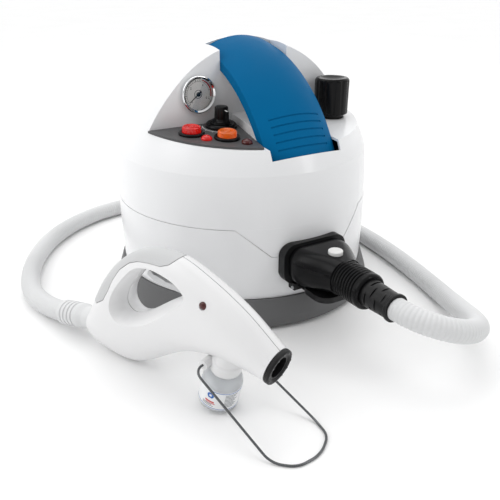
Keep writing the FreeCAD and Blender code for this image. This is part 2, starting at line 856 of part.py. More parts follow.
def loft(name, sections):
    """A skin through rounded rectangles, each given as y, half width, half height and corner radius."""
    item = DOC.addObject("PartDesign::Body", name)
    sketches = []
    for number, (y, wide, tall, corner) in enumerate(sections):
        sketch = item.newObject("Sketcher::SketchObject", f"{name}_{number}")
        sketch.AttachmentSupport = ([f for f in item.Origin.OriginFeatures if f.Role == "XZ_Plane"][0], "")
        sketch.MapMode = "FlatFace"
        sketch.AttachmentOffset = Placement(Vector(0, 0, y), UPRIGHT)
        draw(sketch, rounded(wide, tall, corner))
        sketches.append(sketch)
    skin = item.newObject("PartDesign::AdditiveLoft", f"{name}_skin")
    skin.Profile = sketches[0]
    skin.Sections = sketches[1:]
    skin.Ruled = False
    item.Tip = skin
    return item


def make_plug():
    level = S["socket_level"]
    root = V["plug_root"]
    taper = loft("plug_taper", [
        (root + 0.3, 38, 21.5, 15),
        (root + 14, 39, 22.5, 17),
        (V["collar_start"] - 22, 31, 22, 18),
        (V["collar_start"], 21.5, 20.5, 18),
    ])
    place(taper, (0, 0, level))
    tube_end = V["plug_nose"] - root
    nose_at = (0, tube_end, level)
    nose = extruded("plug_nose_pad", rounded(33, 15.5, 8), S["plug_nose"] + 1, nose_at, plane="XZ_Plane")
    well = cylinder("plug_button_well", 8.7, 16, (0, -208, level + 11))
    hose_way = cylinder("plug_hose_way", 8, 100, (0, -195, level), ALONG_FRONT)
    keep("plug_body", cut("plug_body", fuse("plug_solid", taper, nose), well, hose_way))

    nozzle = cylinder("plug_nozzle_tube", 5.9, 18, (-18, tube_end + 18, level), ALONG_FRONT)
    nozzle_bore = cylinder("plug_nozzle_bore", 3.5, 60, (-18, -130, level), ALONG_FRONT)
    keep("plug_nozzle", cut("plug_nozzle", nozzle, nozzle_bore))

    button = revolved("plug_button_turned", [
        (0, 14),
        (S["knob_radius"], 14),
        (S["knob_radius"], 24.5),
        (S["knob_radius"] - 1, 25.5, 1.1),
        (0, 26, DOME),
    ], (0, -208, level))
    keep("plug_button", button)

    start = V["collar_start"]
    stop = V["boot_start"]
    ribs = 8
    pitch = (stop - start - 8) / ribs
    outline = [(8, start), (20.8, start)]
    for rib in range(ribs):
        low = start + 2 + rib * pitch
        outline += [(20.8, low), (19.4, low + 0.8), (19.4, low + pitch - 2.2), (20.8, low + pitch - 1.4)]
    outline += [(20.8, stop - 4), (18.5, stop, 5.0), (8, stop)]
    keep("plug_collar", revolved("plug_collar", outline, (0, 0, level), turned(X_AXIS, 90)))

    start = V["boot_start"]
    stop = V["boot_end"]
    boot = revolved("boot_turned", [
        (S["hose_radius"] - 1.5, start),
        (15.6, start),
        (14.2, stop - 4),
        (15.6, stop - 2.5),
        (15.6, stop),
        (S["hose_radius"] - 1.5, stop),
    ], (0, 0, level), turned(X_AXIS, 90))
    slots = []
    for row in range(4):
        middle = Vector(0, -start - 7 - row * 7.5, V["socket_level"])
        for side in range(4):
            slot = box(f"boot_slot_{row}_{side}", (-30, -1.1, 13.4), (30, 1.1, 40))
            turn = turned(Y_AXIS, 90 * side + 45 * (row % 2))
            slot.Placement = Placement(middle, turn).multiply(slot.Placement)
            slots.append(slot)
    keep("plug_boot", cut("plug_boot", boot, fuse("boot_slots", *slots)))


# Route of the steam hose, from the plug's boot round the machine to the gun. It leaves the
# plug level with the socket, drops to the floor and lies there until it rises into the gun.
HOSE_ROUTE = [
    (0, -308, 83),
    (0, -316, 83),
    (3, -331, 82),
    (13, -346, 79),
    (31, -357, 73),
    (56, -358, 64),
    (85, -345, 52),
    (113, -320, 38),
    (138, -285, 25),
    (159, -243, 16),
    (176, -195, 12.8),
    (190, -140, 12.8),
    (201, -82, 12.8),
    (208, -23, 12.8),
    (209, 36, 12.8),
    (199, 94, 12.8),
    (177, 149, 12.8),
    (143, 198, 12.8),
    (99, 239, 12.8),
    (47, 270, 12.8),
    (-10, 291, 12.8),
    (-69, 297, 12.8),
    (-126, 284, 12.8),
    (-178, 254, 12.8),
    (-222, 211, 12.8),
    (-254, 160, 12.8),
    (-276, 104, 12.8),
    (-286, 50, 12.8),
    (-275.5, -1.3, 12.9),
    (-262.9, -33.2, 20.0),
]


def rounded_path(points):
    """Straight runs joined by the largest tangent arcs that the runs allow, and the arc radii."""
    corners = [Vector(*point) for point in points]
    edges = []
    radii = []
    cursor = corners[0]
    for before, here, after in zip(corners, corners[1:], corners[2:]):
        back = (before - here).normalize()
        ahead = (after - here).normalize()
        turn = math.pi - back.getAngle(ahead)
        reach = 0.45 * min(here.distanceToPoint(before), here.distanceToPoint(after))
        radius = reach / math.tan(turn / 2)
        first = here + back * reach
        last = here + ahead * reach
        centre_way = (back + ahead).normalize()
        middle = here + centre_way * (radius / math.cos(turn / 2) - radius)
        edges.append(Part.LineSegment(cursor, first).toShape())
        edges.append(Part.Arc(first, middle, last).toShape())
        radii.append(radius)
        cursor = last
    edges.append(Part.LineSegment(cursor, corners[-1]).toShape())
    return Part.Wire(edges), radii


def tube_part(name, points, radius):
    """A round tube or rod along a rounded path."""
    path, radii = rounded_path(points)
    start = Vector(*points[0])
    way = (Vector(*points[1]) - start).normalize()
    ring = Part.Wire(Part.makeCircle(radius, start, way))
    solid = path.makePipeShell([ring], True, False, 2)
    expected = math.pi * radius * radius * path.Length
    print(f"{name}: length {path.Length:.0f} mm, radii {[round(r) for r in radii]},",
          f"volume ratio {solid.Volume / expected:.4f}")
    return shape_part(name, solid)


def make_hose():
    keep("steam_hose", tube_part("steam_hose", HOSE_ROUTE, V["hose_radius"]))


# ---------------------------------------------------------------- spray gun
#
# The gun is modelled along its own +X, with its left side on +Y and the floor at Z = 0,
# and then set down beside the machine.

# Stations along the gun: place, underside, top, half width and squareness of the section.
GUN_STATIONS = [
    (8, 14, 44, 13.5, 2.1),
    (24, 5, 70, 17, 2.2),
    (44, 3, 100, 19.5, 2.3),
    (64, 2.4, 121.5, 20.5, 2.3),
    (84, 7, 136.5, 21, 2.3),
    (106, 18.5, 147, 21.5, 2.3),
    (130, 34.5, 151, 22, 2.3),
    (154, 48.5, 150, 22.5, 2.3),
    (180, 57.5, 141.5, 22.5, 2.2),
    (206, 61, 130, 22, 2.15),
    (232, 60.5, 115.5, 20.5, 2.05),
    (252, 58, 101, 18.8, 2.0),
    (272, 54.5, 86.5, 17.5, 2.0),
]
SECTION_POINTS = 36
NOZZLE_AT = (259.5, 0.0, 75.2)
NOZZLE_PITCH = 105.0
SOCKET_REACH = 34.0
BOTTLE_AT = (205.0, 0.0, 60.0)
BOTTLE_LEAN = 15.0
TRIGGER_PIVOT = (167.0, 0.0, 120.5)
WIRE_PIVOT = (190.0, 0.0, 56.0)
FERRULE_PITCH = 11.7
LAMP_AT = (192.0, 120.0)
GUN_BOSSES = [(58, 28), (42, 62), (168, 76), (184, 106), (222, 104)]


def gun_frame():
    return Placement(Vector(V["gun_x"], V["gun_y"], 0), turned(Z_AXIS, V["gun_heading"]))


def keep_gun(name, item):
    """Name a gun sub-part and set it down in the gun's place."""
    item.Placement = gun_frame().multiply(item.Placement)
    return keep(name, item)


def stand(item, at, turn):
    item.Placement = Placement(Vector(*at), turn)
    return item


def gun_section(station, inset):
    """Superellipse across the gun at one station."""
    along, low, high, half, power = station
    middle = (low + high) / 2
    tall = (high - low) / 2 - inset
    wide = half - inset
    points = []
    for step in range(SECTION_POINTS):
        angle = 2 * math.pi * step / SECTION_POINTS
        c = math.cos(angle)
        s = math.sin(angle)
        y = wide * math.copysign(abs(c) ** (2 / power), c)
        z = tall * math.copysign(abs(s) ** (2 / power), s)
        points.append(Vector(along, y, middle + z))
    curve = Part.BSplineCurve()
    curve.interpolate(points, PeriodicFlag=True)
    return Part.Wire(curve.toShape())


def gun_skin(inset):
    wires = [gun_section(station, inset) for station in GUN_STATIONS]
    return Part.makeLoft(wires, True, False)


def gun_side(x, z):
    """How far the gun's side stands out from its middle plane at a place in its side view."""
    after = next(k for k, station in enumerate(GUN_STATIONS) if station[0] >= x)
    before = GUN_STATIONS[after - 1]
    share = (x - before[0]) / (GUN_STATIONS[after][0] - before[0])
    low, high, half, power = [
        a + (b - a) * share for a, b in zip(before[1:], GUN_STATIONS[after][1:])
    ]
    lift = abs(2 * z - low - high) / (high - low)
    return half * (1 - lift ** power) ** (1 / power)


def prism(points, half):
    """A slab through the gun from a cornered outline in its side view."""
    corners = [Vector(x, -half, z) for x, z in points]
    return Part.Face(Part.makePolygon(corners + corners[:1])).extrude(Vector(0, 2 * half, 0))


# The finger window at its narrowest, on the gun's middle plane.
WINDOW = [
    (110, 127), (98, 120.5), (86, 108), (75, 95), (69, 83), (68.5, 73), (76, 66.5), (89, 68.5),
    (112, 82), (136, 99), (155, 111), (161, 117.5), (155, 124.5), (138, 129), (123, 129.5),
]
# Its edge is rounded: how much wider it is at each distance from the middle plane.
WINDOW_FLARE = [(0, 0), (6, 0.6), (11.5, 2.4), (16.5, 5.5), (20.5, 9.5), (24.5, 14.5)]
GRIP_SEAM = [
    (0, 68), (36, 68), (50, 77), (59, 91), (66, 105), (76, 119), (90, 130), (104, 136), (120, 139),
    (136, 140.5), (146, 144.5), (153, 151), (153, 190), (0, 190),
]


def grown(points, amount):
    """The outline pushed outward from its middle by an amount."""
    cx = sum(p[0] for p in points) / len(points)
    cz = sum(p[1] for p in points) / len(points)
    out = []
    for x, z in points:
        reach = math.hypot(x - cx, z - cz)
        out.append((x + (x - cx) / reach * amount, z + (z - cz) / reach * amount))
    return out


def window_way(extra):
    """The space through the finger window, flared toward both sides."""
    wires = []
    flares = [(-side, grow) for side, grow in WINDOW_FLARE[:0:-1]] + WINDOW_FLARE
    for side, grow in flares:
        curve = Part.BSplineCurve()
        corners = [Vector(x, side, z) for x, z in grown(WINDOW, grow + extra)]
        curve.interpolate(corners, PeriodicFlag=True)
        wires.append(Part.Wire(curve.toShape()))
    return Part.makeLoft(wires, True, False)


def nozzle_turn():
    return turned(Y_AXIS, NOZZLE_PITCH)


def placed(solid, placement):
    solid.Placement = placement
    return solid


def gun_ways():
    """Everything that passes through the gun's shells."""
    nozzle = Placement(Vector(*NOZZLE_AT), nozzle_turn())
    bottle = Placement(Vector(*BOTTLE_AT), turned(Y_AXIS, BOTTLE_LEAN))
    inlet_way = Vector(1, 0, math.tan(math.radians(FERRULE_PITCH)))
    pivot_x, _, pivot_z = TRIGGER_PIVOT
    wire_x, _, wire_z = WIRE_PIVOT
    lamp_x, lamp_z = LAMP_AT
    socket_way = V["nozzle_bore"] + 2.35
    ways = [
        placed(Part.makeCylinder(socket_way, 60, Vector(0, 0, -40), Z_AXIS), nozzle),
        placed(Part.makeCylinder(15.7, 40, Vector(0, 0, -20), Z_AXIS), bottle),
        Part.makeCylinder(12.9, 80, Vector(-50, 0, 19.2), inlet_way),
        Part.makeBox(pivot_x - 96, 13.4, 25, Vector(103, -6.7, 111)),
        Part.makeCylinder(1.45, 24, Vector(pivot_x, -12, pivot_z), Y_AXIS),
        Part.makeCylinder(3.8, 20, Vector(lamp_x, -32, lamp_z), Y_AXIS),
        Part.makeCylinder(5.4, 60, Vector(wire_x, -30, wire_z), Y_AXIS),
        Part.makeBox(14, 17, 12, Vector(wire_x - 1, -8.5, wire_z - 6)),
    ]
    for x, z in GUN_BOSSES:
        ways.append(Part.makeCylinder(3.3, 40, Vector(x, gun_side(x, z) - 3, z), Y_AXIS))
        ways.append(Part.makeCylinder(1.5, 40, Vector(x, -14, z), Y_AXIS))
    return ways


def make_gun_shells():
    wall = V["gun_wall"]
    seam = V["gun_seam"]
    nozzle = Placement(Vector(*NOZZLE_AT), nozzle_turn())
    ahead = placed(Part.makeBox(160, 160, 60, Vector(-80, -80, 0)), nozzle)
    solid = gun_skin(0).cut(ahead).cut(window_way(0))
    ribs = [Part.makeCylinder(4.6, 60, Vector(x, -30, z), Y_AXIS) for x, z in GUN_BOSSES]
    ribs.append(Part.makeBox(10, 60, 9, Vector(TRIGGER_PIVOT[0] - 5, -30, TRIGGER_PIVOT[2] - 4.5)))
    room = gun_skin(wall).cut(window_way(wall + 1.5)).cut(ribs)
    half = solid.cut(room).common(Part.makeBox(400, 60, 300, Vector(-20, -60, -20)))
    pad_outline = [(x - seam, z + seam) for x, z in GRIP_SEAM]
    grip_half = biggest(half.common(prism(pad_outline, 60)))
    side_half = half.cut(prism(GRIP_SEAM, 60))
    side_half = biggest(side_half.cut(Part.makeBox(400, 2 * seam, 300, Vector(-20, -seam, -20))))
    blanks = {
        "grip_pad": grip_half.fuse(other_side(grip_half)),
        "gun_shell_left": other_side(side_half),
        "gun_shell_right": side_half,
    }
    for name, piece in blanks.items():
        for way in gun_ways():
            piece = piece.cut(way)
        keep_gun(name, shape_part(name, biggest(piece)))


def other_side(shape):
    return shape.mirror(Vector(0, 0, 0), Y_AXIS)


def biggest(shape):
    return max(shape.Solids, key=lambda solid: solid.Volume)


def make_gun_fittings():
    nozzle_at = NOZZLE_AT
    turn = nozzle_turn()
    bore = S["nozzle_bore"]
    ring = revolved("nozzle_ring_turned", [
        (bore + 2.25, 0.4),
        (S["nozzle_radius"] - 0.6, 0.4),
        (S["nozzle_radius"], 1.4),
        (S["nozzle_radius"], 3.6),
        (S["nozzle_radius"] - 1.8, 5.6, 1.9),
        (bore + 4.4, 5.6),
        (bore + 2.25, 4.2),
    ])
    keep_gun("nozzle_ring", stand(ring, nozzle_at, turn))
    tube = revolved("nozzle_socket_turned", [
        (3, -SOCKET_REACH),
        (bore + 2.2, -SOCKET_REACH),
        (bore + 2.2, 4),
        (bore, 4),
        (bore, -28),
        (3, -28),
    ])
    keep_gun("nozzle_socket", stand(tube, nozzle_at, turn))

    lamp_x, lamp_z = LAMP_AT
    lamp = revolved("gun_lamp_lens", [(0, 0), (3.6, 0), (3.6, 4), (0, 5.4, DOME)])
    keep_gun("gun_lamp", stand(lamp, (lamp_x, 3.4 - gun_side(lamp_x, lamp_z), lamp_z), ALONG_FRONT))
    heads = []
    for x, z in GUN_BOSSES:
        at = (x, gun_side(x, z) - 0.8, z)
        heads.append(cylinder(f"gun_screw_{x}_{z}", 3.0, 2.2, at, turned(X_AXIS, 90)))
    keep_gun("gun_screws", group("gun_screws", heads))

    lever = extruded("trigger_lever", [
        (172, 117),
        (166, 114.6),
        (132, 114.6),
        (116, 116.5, 55.0),
        (108, 121),
        (109, 124.5),
        (113, 126),
        (117, 122.8),
        (133, 120.2, -50.0),
        (160, 121.5),
        (166, 125.5),
        (172, 123.5),
    ], 12, plane="XZ_Plane", both=True)
    lever_bore = cylinder("trigger_bore", 1.45, 40, (TRIGGER_PIVOT[0], 20, TRIGGER_PIVOT[2]), ALONG_FRONT)
    keep_gun("trigger", cut("trigger", lever, lever_bore))
    pin = cylinder("trigger_pin", 1.4, 22, (TRIGGER_PIVOT[0], 11, TRIGGER_PIVOT[2]), ALONG_FRONT)
    keep_gun("trigger_pin", pin)

    x, y, z = BOTTLE_AT
    lean = turned(Y_AXIS, BOTTLE_LEAN)
    collar = revolved("adapter_collar", [
        (10.6, -14),
        (14.5, -14),
        (15.5, -12),
        (15.5, -3),
        (14.5, -1),
        (14.5, 12),
        (4, 12),
        (4, 6),
        (10.6, 6),
    ], BOTTLE_AT, lean)
    wire_x, _, wire_z = WIRE_PIVOT
    barrel = cylinder("adapter_barrel", 5, 39, (wire_x, 19.5, wire_z), ALONG_FRONT)
    web = box("adapter_web", (wire_x, -8, wire_z - 5), (wire_x + 12, 8, wire_z + 4))
    foot_way = cylinder("adapter_foot_way", 14.5, 60)
    foot_way.Placement = Placement(Vector(x, y, z), lean).multiply(Placement(Vector(0, 0, -30), UPRIGHT))
    wire_at = (WIRE_PIVOT[0], 40, WIRE_PIVOT[2])
    wire_bore = cylinder("wire_bore", S["wire_radius"] + 0.05, 80, wire_at, ALONG_FRONT)
    adapter = fuse("adapter_whole", collar, cut("adapter_bored", fuse("adapter_foot", barrel, web), foot_way))
    keep_gun("bottle_adapter", cut("bottle_adapter", adapter, wire_bore))
    bottle_outer = revolved("bottle", [
        (0, -56),
        (S["bottle_radius"] - 3, -56),
        (S["bottle_radius"], -53, 3.2),
        (S["bottle_radius"], -26),
        (10.2, -15, 14.0),
        (10.2, 5),
        (8.2, 5),
        (8.2, -16.5),
        (S["bottle_radius"] - 1.6, -27, -13.0),
        (S["bottle_radius"] - 1.6, -53),
        (S["bottle_radius"] - 3.5, -54.4),
        (0, -54.4),
    ], BOTTLE_AT, lean)
    keep_gun("bottle", bottle_outer)
    dip = cylinder("dip_tube", 2.0, 46)
    dip.Placement = Placement(Vector(x, y, z), lean).multiply(Placement(Vector(0, 0, -52), UPRIGHT))
    keep_gun("dip_tube", dip)

    px, _, pz = WIRE_PIVOT
    foot_level = V["wire_radius"] + 0.2
    half_wire = [
        (px, 10, pz),
        (px, 31, pz),
        (282, 36, foot_level),
        (303, 25, foot_level),
        (309, 6, foot_level),
    ]
    route = [(a, -b, c) for a, b, c in half_wire] + half_wire[::-1]
    keep_gun("wire_guard", tube_part("wire_guard", route, V["wire_radius"]))

    pitch = math.radians(FERRULE_PITCH)
    ferrule_turn = turned(Y_AXIS, 90 - FERRULE_PITCH)
    outline = [(6, 0), (15, 0)]
    for ring_number in range(4):
        start = 5 + 7 * ring_number
        outline += [(15, start), (13.8, start + 0.6), (13.8, start + 2.2), (15, start + 2.8)]
    outline += [(14.8, 36), (12.8, 44), (12.8, 62), (6, 62)]
    ferrule = revolved("hose_ferrule", outline)
    keep_gun("hose_ferrule", stand(ferrule, (-46, 0, 20), ferrule_turn))
    inlet = Vector(-46, 0, 20) + Vector(math.cos(pitch), 0, math.sin(pitch)) * 62.02
    mouth_way = nozzle_turn().multVec(Z_AXIS)
    tube_end = Vector(*NOZZLE_AT) - mouth_way * (SOCKET_REACH + 0.27)
    tube_bend = tube_end - mouth_way * 24
    route = [
        (inlet.x, 0, inlet.z),
        (inlet.x + 12 * math.cos(pitch), 0, inlet.z + 12 * math.sin(pitch)),
        (58, 0, 44),
        (90, 0, 49),
        (128, 0, 72),
        (165, 0, 88),
        tuple(tube_bend),
        tuple(tube_end),
    ]
    keep_gun("gun_steam_tube", tube_part("gun_steam_tube", route, 4.0))


make_base()
make_casings()
make_gland()
make_controls()
make_gauge()
make_boiler()
make_cap()
make_socket()
make_plug()
make_hose()
make_gun_shells()
make_gun_fittings()


def finish():
    DOC.recompute()
    os.makedirs("parts", exist_ok=True)
    for item in DOC.Objects:
        if {"Invalid", "Error"} & set(item.State):
            raise RuntimeError(f"{item.Name} failed: {item.State}")
    for name, item in PARTS.items():
        if item.Shape.isNull() or not item.Shape.isValid():
            raise RuntimeError(f"{name} has no valid shape")
        item.Shape.exportStep(f"parts/{name}.step")
        print(name, round(item.Shape.Volume / 1000, 2), "cm3", len(item.Shape.Solids), "solids")


finish()
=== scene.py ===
"""Looks of the canister steam cleaner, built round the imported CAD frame.

Blender's lengths are metres. The hose's route and the sizes of the details are millimetres, and MM turns
them into metres.
"""
import json
import math

import bpy
from mathutils import Matrix, Vector


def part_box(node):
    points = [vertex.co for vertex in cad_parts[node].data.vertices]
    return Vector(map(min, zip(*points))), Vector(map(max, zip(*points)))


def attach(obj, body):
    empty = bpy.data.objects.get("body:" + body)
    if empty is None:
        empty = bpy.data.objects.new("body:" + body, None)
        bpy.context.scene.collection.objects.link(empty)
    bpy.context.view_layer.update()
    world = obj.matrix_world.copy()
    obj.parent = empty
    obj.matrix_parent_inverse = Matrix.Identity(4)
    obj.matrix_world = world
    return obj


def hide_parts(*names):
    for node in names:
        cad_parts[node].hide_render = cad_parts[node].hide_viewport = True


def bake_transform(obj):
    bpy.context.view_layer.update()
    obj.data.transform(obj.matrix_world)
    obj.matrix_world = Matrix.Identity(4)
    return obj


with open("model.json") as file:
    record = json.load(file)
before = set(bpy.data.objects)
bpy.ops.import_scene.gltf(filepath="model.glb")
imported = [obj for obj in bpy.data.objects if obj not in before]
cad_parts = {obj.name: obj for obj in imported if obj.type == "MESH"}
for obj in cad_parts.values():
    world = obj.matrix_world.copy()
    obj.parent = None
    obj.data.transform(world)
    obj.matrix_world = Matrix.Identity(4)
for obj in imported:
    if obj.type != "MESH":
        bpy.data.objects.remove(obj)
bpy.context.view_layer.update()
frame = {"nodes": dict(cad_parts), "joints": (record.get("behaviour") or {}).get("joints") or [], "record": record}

MM = 0.001
NODES = frame["nodes"]

# ---------------------------------------------------------------- camera

CAMERA_AT = Vector((-0.4016, -0.6923, 0.3939))
CAMERA_WAY = Vector((0.467, 0.780, -0.417))
SENSOR_WIDTH = 36.0
FOCAL_LENGTH = 44.06


def make_camera():
    data = bpy.data.cameras.new("camera")
    data.sensor_width = SENSOR_WIDTH
    data.lens = FOCAL_LENGTH
    camera = bpy.data.objects.new("camera", data)
    bpy.context.scene.collection.objects.link(camera)
    camera.location = CAMERA_AT
    camera.rotation_euler = CAMERA_WAY.to_track_quat("-Z", "Y").to_euler()
    bpy.context.scene.camera = camera


make_camera()

# ---------------------------------------------------------------- steam hose

# The hose's route, as in the CAD source, from the plug's boot round the machine to the gun.
HOSE_ROUTE_MM = [
    (0, -308, 83),
    (0, -316, 83),
    (3, -331, 82),
    (13, -346, 79),
    (31, -357, 73),
    (56, -358, 64),
    (85, -345, 52),
    (113, -320, 38),
    (138, -285, 25),
    (159, -243, 16),
    (176, -195, 12.8),
    (190, -140, 12.8),
    (201, -82, 12.8),
    (208, -23, 12.8),
    (209, 36, 12.8),
    (199, 94, 12.8),
    (177, 149, 12.8),
    (143, 198, 12.8),
    (99, 239, 12.8),
    (47, 270, 12.8),
    (-10, 291, 12.8),
    (-69, 297, 12.8),
    (-126, 284, 12.8),
    (-178, 254, 12.8),
    (-222, 211, 12.8),
    (-254, 160, 12.8),
    (-276, 104, 12.8),
    (-286, 50, 12.8),
    (-275.5, -1.3, 12.9),
    (-262.9, -33.2, 20.0),
]
HOSE_RADIUS = 12.5 * MM
RIB_PITCH = 4.2 * MM
RIB_DEPTH = 0.75 * MM
RINGS_PER_RIB = 6
HOSE_SIDES = 36
ROUTE_STEPS = 24


def route_line(name, points_mm):
    """Points along the smooth curve that a route controls."""
    data = bpy.data.curves.new(name, "CURVE")
    data.dimensions = "3D"
    data.resolution_u = ROUTE_STEPS
    spline = data.splines.new("NURBS")
    spline.points.add(len(points_mm) - 1)
    for point, place in zip(spline.points, points_mm):
        point.co = (*[c * MM for c in place], 1.0)
    spline.order_u = 3
    spline.use_endpoint_u = True
    holder = bpy.data.objects.new(name, data)
    mesh = bpy.data.meshes.new_from_object(holder)
    line = [v.co.copy() for v in mesh.vertices]
    bpy.data.meshes.remove(mesh)
    bpy.data.curves.remove(data)
    return line


def evenly(line, step):
    """The same line with points a step apart, and its length."""
    runs = [(b - a).length for a, b in zip(line, line[1:])]
    total = sum(runs)
    count = math.ceil(total / step)
    spaced = []
    index = 0
    done = 0.0
    for number in range(count + 1):
        target = total * number / count
        while index < len(runs) - 1 and done + runs[index] < target:
            done += runs[index]
            index += 1
        share = min(1.0, (target - done) / runs[index])
        spaced.append(line[index].lerp(line[index + 1], share))
    return spaced, total


def new_object(name, data):
    item = bpy.data.objects.new(name, data)
    bpy.context.scene.collection.objects.link(item)
    return item


def mesh_object(name, verts, faces, smooth=True):
    mesh = bpy.data.meshes.new(name)
    mesh.from_pydata([tuple(v) for v in verts], [], faces)
    mesh.polygons.foreach_set("use_smooth", [smooth] * len(faces))
    mesh.update()
    return new_object(name, mesh)


def tube_along(name, line, radius_at, sides):
    """A closed tube round a line; radius_at gives the radius at each distance along it."""
    verts = []
    faces = []
    across = Vector((0, 0, 1))
    along = 0.0
    for index, point in enumerate(line):
        before = line[max(index - 1, 0)]
        after = line[min(index + 1, len(line) - 1)]
        way = (after - before).normalized()
        across = (across - way * across.dot(way)).normalized()
        side = way.cross(across)
        if index:
            along += (point - before).length
        radius = radius_at(along)
        for step in range(sides):
            angle = 2 * math.pi * step / sides
            verts.append(point + (across * math.cos(angle) + side * math.sin(angle)) * radius)
    for ring in range(len(line) - 1):
        for step in range(sides):
            a = ring * sides + step
            b = ring * sides + (step + 1) % sides
            faces.append((a, b, b + sides, a + sides))
    faces.append(tuple(range(sides))[::-1])
    last = (len(line) - 1) * sides
    faces.append(tuple(range(last, last + sides)))
    return mesh_object(name, verts, faces)


def rib_radius(along):
    """The radius of the corrugated jacket: rounded crests with narrow valleys between them."""
    wave = abs(math.sin(math.pi * along / RIB_PITCH))
    return HOSE_RADIUS - RIB_DEPTH * (1 - wave ** 0.7)


def make_hose():
    line, length = evenly(route_line("hose_route", HOSE_ROUTE_MM), RIB_PITCH / RINGS_PER_RIB)
    hose = tube_along("steam_hose_jacket", line, rib_radius, HOSE_SIDES)
    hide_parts("steam_hose")
    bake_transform(hose)
    return hose


hose = make_hose()

# ---------------------------------------------------------------- materials


# Noise seldom leaves its middle part, so its effect is spread over that part.
SHADE_FROM = 0.35
SHADE_TO = 0.65
NUMBER_FROM = 0.3
NUMBER_TO = 0.7


def new_material(name):
    material = bpy.data.materials.new(name)
    material.use_nodes = True
    tree = material.node_tree
    shader = tree.nodes["Principled BSDF"]
    return material, tree, shader


def noise(tree, scale, detail=4.0, stretch=(1, 1, 1)):
    """Noise in the object's own frame, so that it is the same size on every piece."""
    coords = tree.nodes.new("ShaderNodeTexCoord")
    mapping = tree.nodes.new("ShaderNodeMapping")
    mapping.inputs["Scale"].default_value = stretch
    texture = tree.nodes.new("ShaderNodeTexNoise")
    texture.inputs["Scale"].default_value = scale
    texture.inputs["Detail"].default_value = detail
    tree.links.new(coords.outputs["Object"], mapping.inputs["Vector"])
    tree.links.new(mapping.outputs["Vector"], texture.inputs["Vector"])
    return texture.outputs["Fac"]


def shade_range(tree, factor, low, high, target):
    """Spread a factor over two colours or two numbers and wire it to a socket."""
    ramp = tree.nodes.new("ShaderNodeValToRGB")
    ramp.color_ramp.elements[0].position = SHADE_FROM
    ramp.color_ramp.elements[1].position = SHADE_TO
    ramp.color_ramp.elements[0].color = low
    ramp.color_ramp.elements[1].color = high
    tree.links.new(factor, ramp.inputs["Fac"])
    tree.links.new(ramp.outputs["Color"], target)


def spread_number(tree, factor, low, high, target):
    node = tree.nodes.new("ShaderNodeMapRange")
    node.inputs["From Min"].default_value = NUMBER_FROM
    node.inputs["From Max"].default_value = NUMBER_TO
    node.inputs["To Min"].default_value = low
    node.inputs["To Max"].default_value = high
    tree.links.new(factor, node.inputs["Value"])
    tree.links.new(node.outputs["Result"], target)


def add_bump(tree, shader, factor, height, strength=1.0):
    bump = tree.nodes.new("ShaderNodeBump")
    bump.inputs["Distance"].default_value = height
    bump.inputs["Strength"].default_value = strength
    tree.links.new(factor, bump.inputs["Height"])
    tree.links.new(bump.outputs["Normal"], shader.inputs["Normal"])


def tint(colour, factor):
    return (*[min(1.0, c * factor) for c in colour[:3]], 1.0)


def plastic(
    name, colour, rough, grain=2600, grain_height=0.02, drift=0.03, coat=0.0, gloss=0.5, uneven=0.12,
):
    """Moulded plastic: a slow drift of shade, an uneven polish and a fine grain."""
    material, tree, shader = new_material(name)
    shade_range(
        tree, noise(tree, 9), tint(colour, 1 - drift), tint(colour, 1 + drift), shader.inputs["Base Color"],
    )
    low = rough * (1 - uneven)
    high = rough * (1 + uneven)
    spread_number(tree, noise(tree, 45), low, high, shader.inputs["Roughness"])
    add_bump(tree, shader, noise(tree, grain, 2.0), grain_height * MM)
    shader.inputs["Specular IOR Level"].default_value = gloss
    shader.inputs["Coat Weight"].default_value = coat
    shader.inputs["Coat Roughness"].default_value = 0.12
    return material


def lens_plastic(name, colour, glow):
    """Coloured see-through plastic, faintly lit from behind."""
    material, tree, shader = new_material(name)
    shade_range(
        tree, noise(tree, 160), tint(colour, 0.85), tint(colour, 1.1), shader.inputs["Base Color"],
    )
    shader.inputs["Roughness"].default_value = 0.09
    shader.inputs["Transmission Weight"].default_value = 0.55
    shader.inputs["IOR"].default_value = 1.49
    shader.inputs["Emission Color"].default_value = (*colour[:3], 1.0)
    shader.inputs["Emission Strength"].default_value = glow
    return material


def clear_plastic(name, colour, rough, weight):
    material, tree, shader = new_material(name)
    shade_range(tree, noise(tree, 60), tint(colour, 0.97), tint(colour, 1.0), shader.inputs["Base Color"])
    shader.inputs["Roughness"].default_value = rough
    shader.inputs["Transmission Weight"].default_value = weight
    shader.inputs["IOR"].default_value = 1.45
    return material


def metal(name, colour, rough, stretch=(1, 1, 1), lines=500):
    """Metal with fine scratches that run the way it was finished."""
    material, tree, shader = new_material(name)
    shade_range(tree, noise(tree, 40), tint(colour, 0.93), tint(colour, 1.05), shader.inputs["Base Color"])
    lines_way = noise(tree, lines, 3.0, stretch)
    spread_number(tree, lines_way, rough * 0.7, rough * 1.4, shader.inputs["Roughness"])
    add_bump(tree, shader, noise(tree, lines, 3.0, stretch), 0.006 * MM)
    shader.inputs["Metallic"].default_value = 1.0
    return material


def fibre(name, colour):
    """The boiler's wrapped blanket."""
    material, tree, shader = new_material(name)
    shade_range(
        tree, noise(tree, 300, 8.0), tint(colour, 0.7), tint(colour, 1.1), shader.inputs["Base Color"],
    )
    add_bump(tree, shader, noise(tree, 700, 8.0), 1.2 * MM)
    shader.inputs["Roughness"].default_value = 0.95
    return material


